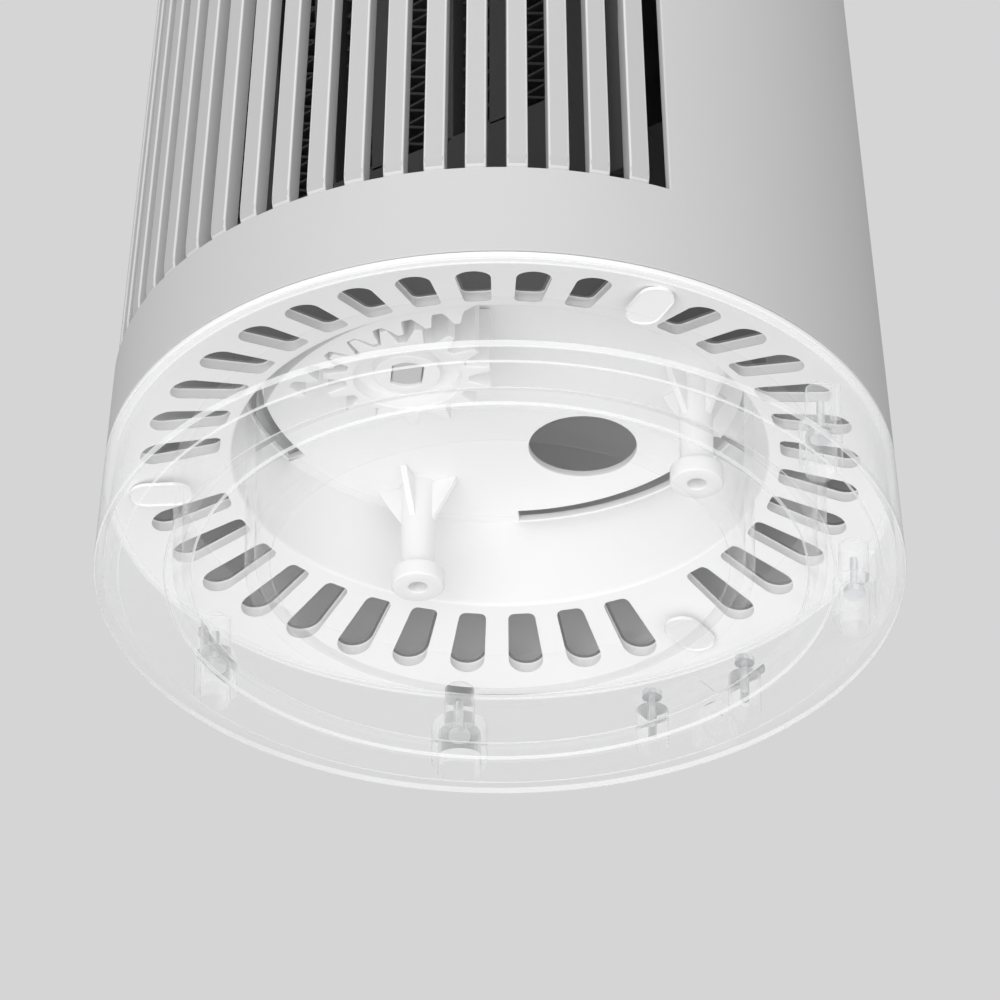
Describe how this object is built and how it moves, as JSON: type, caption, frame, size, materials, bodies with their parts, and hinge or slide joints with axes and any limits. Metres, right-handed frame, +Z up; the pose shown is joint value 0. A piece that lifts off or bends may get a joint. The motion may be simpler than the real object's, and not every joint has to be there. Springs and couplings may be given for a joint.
{
  "type": "air purifier",
  "caption": "Tapered tower air purifier with a front louvre, turning on a clear swing base by a motor-driven pinion and gear sector.",
  "frame": {"origin": "on the floor, under the middle of the base", "axes": "+Z up along the tower's axis, -Y to the front louvre, +X to the object's right seen from the front"},
  "size_m": [0.2044, 0.2044, 0.4208],
  "materials": {
    "clear_plastic": "clear polished moulding",
    "clear_rubber": "milky silicone",
    "steel": "zinc-plated, satin",
    "brass": "sintered, dull",
    "plate_white": "white moulding, low sheen",
    "shell_grey": "light grey moulding, fine satin",
    "dark_plastic": "dark moulding, matte",
    "fin_dark": "dark coated corrugated strip",
    "filter_paper": "pleated fibre",
    "board_green": "solder mask",
    "panel_gloss": "polished black"
  },
  "bodies": {
    "base": {"base_shell": "clear_plastic", "base_floor": "clear_plastic", "base_hub": "clear_plastic", "bearing_track": "clear_plastic", "cord_clamp": "clear_plastic", "base_screw_1": "steel", "base_screw_2": "steel", "base_screw_3": "steel", "base_screw_4": "steel", "cord_clamp_screw_1": "steel", "cord_clamp_screw_2": "steel", "foot_ring": "clear_rubber", "cord_gland": "clear_rubber", "gear_sector": "plate_white"},
    "tower": {"swing_motor": "steel", "swing_motor_screw_1": "steel", "swing_motor_screw_2": "steel", "fan_motor": "steel", "lower_bush": "brass", "turntable_plate": "plate_white", "glide_pad_1": "plate_white", "glide_pad_2": "plate_white", "glide_pad_3": "plate_white", "tower_shell": "shell_grey", "louvre_grille": "shell_grey", "top_cap": "shell_grey", "outlet_frame": "dark_plastic", "scroll_wall": "dark_plastic", "vortex_tongue": "dark_plastic", "lower_deck": "dark_plastic", "upper_deck": "dark_plastic", "inlet_guard": "dark_plastic", "fin_column_1": "fin_dark", "fin_column_2": "fin_dark", "fin_column_3": "fin_dark", "fin_column_4": "fin_dark", "fin_column_5": "fin_dark", "fin_column_6": "fin_dark", "control_board": "board_green", "control_disc": "panel_gloss", "display_lens": "panel_gloss"},
    "impeller": {"impeller": "dark_plastic"},
    "pinion": {"drive_pinion": "plate_white", "swing_shaft": "plate_white"},
    "button_1": {"button_1": "shell_grey"},
    "button_2": {"button_2": "shell_grey"},
    "button_3": {"button_3": "shell_grey"},
    "intake": {"rear_cover": "shell_grey", "filter_frame": "plate_white", "filter_media": "filter_paper"}
  },
  "joints": [
    {"name": "swing", "type": "hinge", "parent": "base", "child": "tower", "pos_m": [0, 0, 0.0305], "axis": [0, 0, 1], "range_deg": [-25, 25]},
    {"name": "pinion_spin", "type": "hinge", "parent": "tower", "child": "pinion", "pos_m": [-0.00366, -0.03606, 0.0432], "axis": [0, 0, 1], "range_deg": [-75, 75]},
    {"name": "fan_spin", "type": "hinge", "parent": "tower", "child": "impeller", "pos_m": [0, 0.004, 0.1], "axis": [0, 0, 1], "continuous": true},
    {"name": "button_1_press", "type": "slide", "parent": "tower", "child": "button_1", "axis": [0, 0, -1], "range_m": [0, 0.001], "stiffness_N_per_m": 1500, "springref_m": -0.0004},
    {"name": "button_2_press", "type": "slide", "parent": "tower", "child": "button_2", "axis": [0, 0, -1], "range_m": [0, 0.001], "stiffness_N_per_m": 1500, "springref_m": -0.0004},
    {"name": "button_3_press", "type": "slide", "parent": "tower", "child": "button_3", "axis": [0, 0, -1], "range_m": [0, 0.001], "stiffness_N_per_m": 1500, "springref_m": -0.0004},
    {"name": "cover_pull", "type": "slide", "parent": "tower", "child": "intake", "axis": [0, 1, 0], "range_m": [0, 0.065]}
  ],
  "couplings": [
    {"joint": "pinion_spin", "follows": "swing", "ratio": -2.9333}
  ]
}
